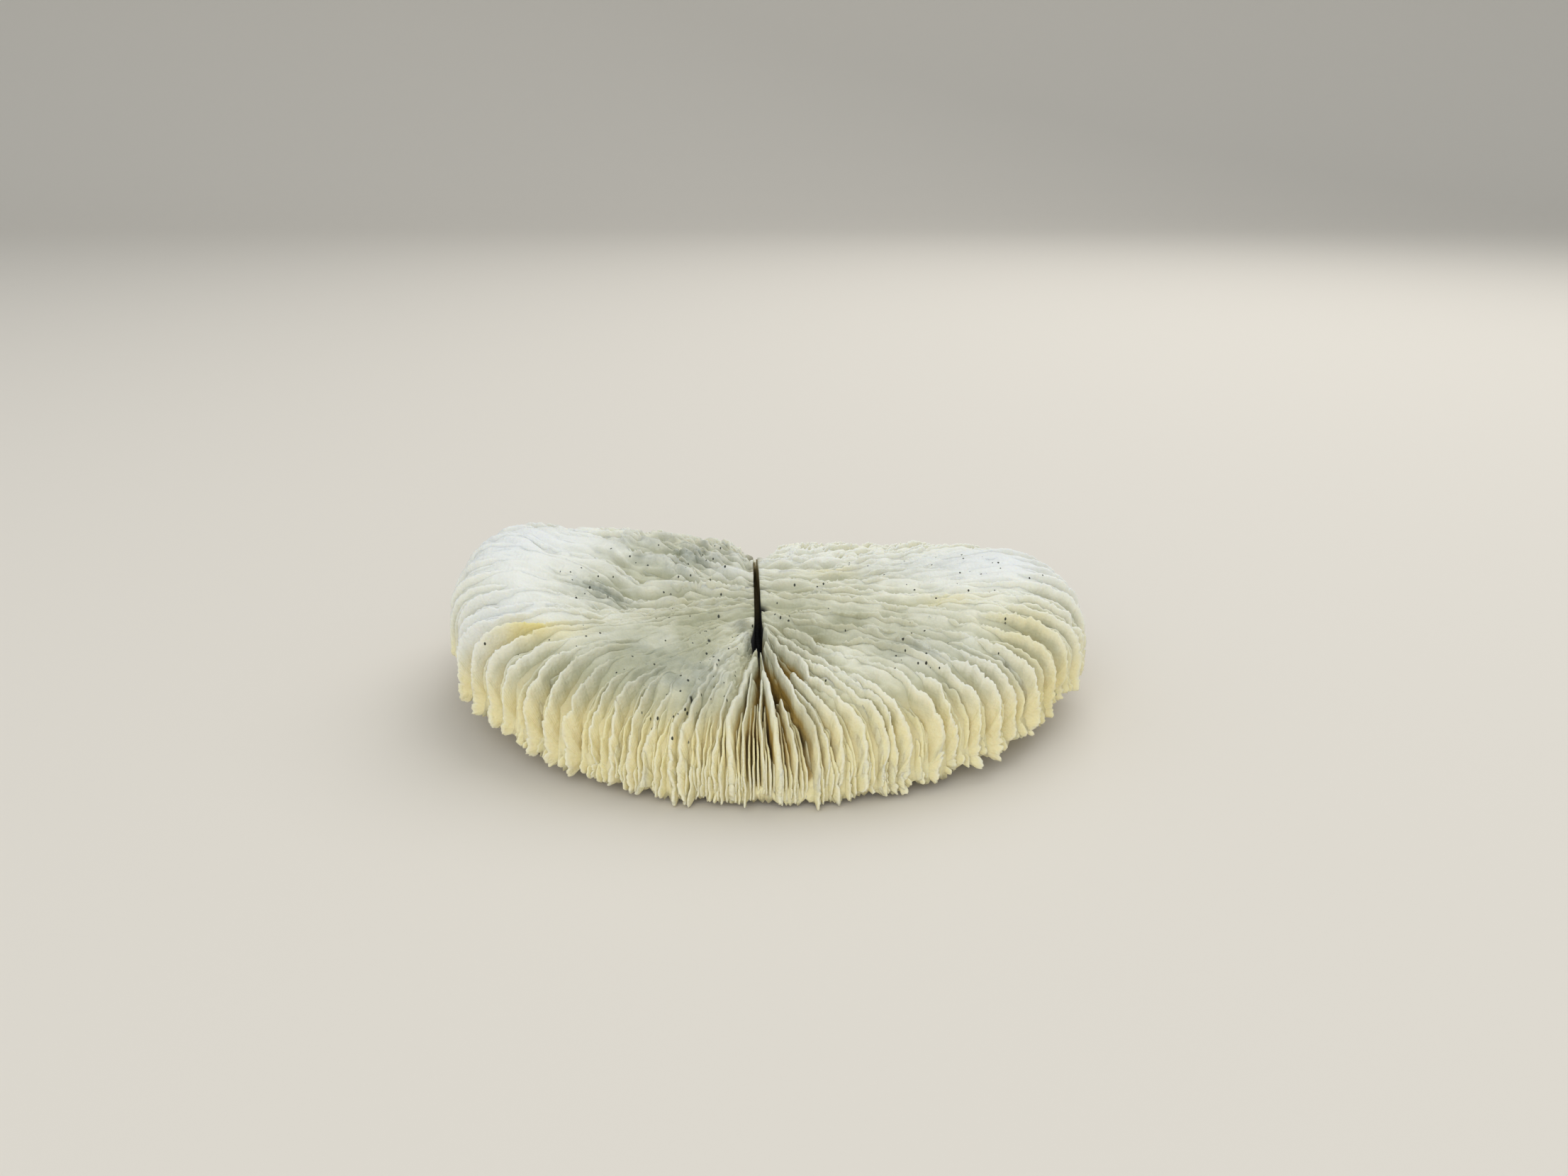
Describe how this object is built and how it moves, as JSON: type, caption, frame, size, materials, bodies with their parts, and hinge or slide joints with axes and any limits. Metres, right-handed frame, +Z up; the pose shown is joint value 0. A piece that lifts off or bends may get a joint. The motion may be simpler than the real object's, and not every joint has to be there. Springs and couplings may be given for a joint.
{
  "type": "mushroom coral skeleton",
  "caption": "Dry skeleton of a solitary mushroom coral: an oval disc with a slit in the middle, thin plates fanning out to a steep toothed rim, and a hollow underside.",
  "frame": {"origin": "middle of the footprint, on the table that the coral rests on", "axes": "+X to the lower, right-hand lobe, +Y to the back along the slit, +Z up; -Y is the steep front rim that the picture shows"},
  "size_m": [0.128, 0.0984, 0.0289],
  "materials": {
    "bleached_aragonite": "matte"
  },
  "bodies": {
    "root": {"coral_skeleton": "bleached_aragonite"}
  },
  "joints": []
}
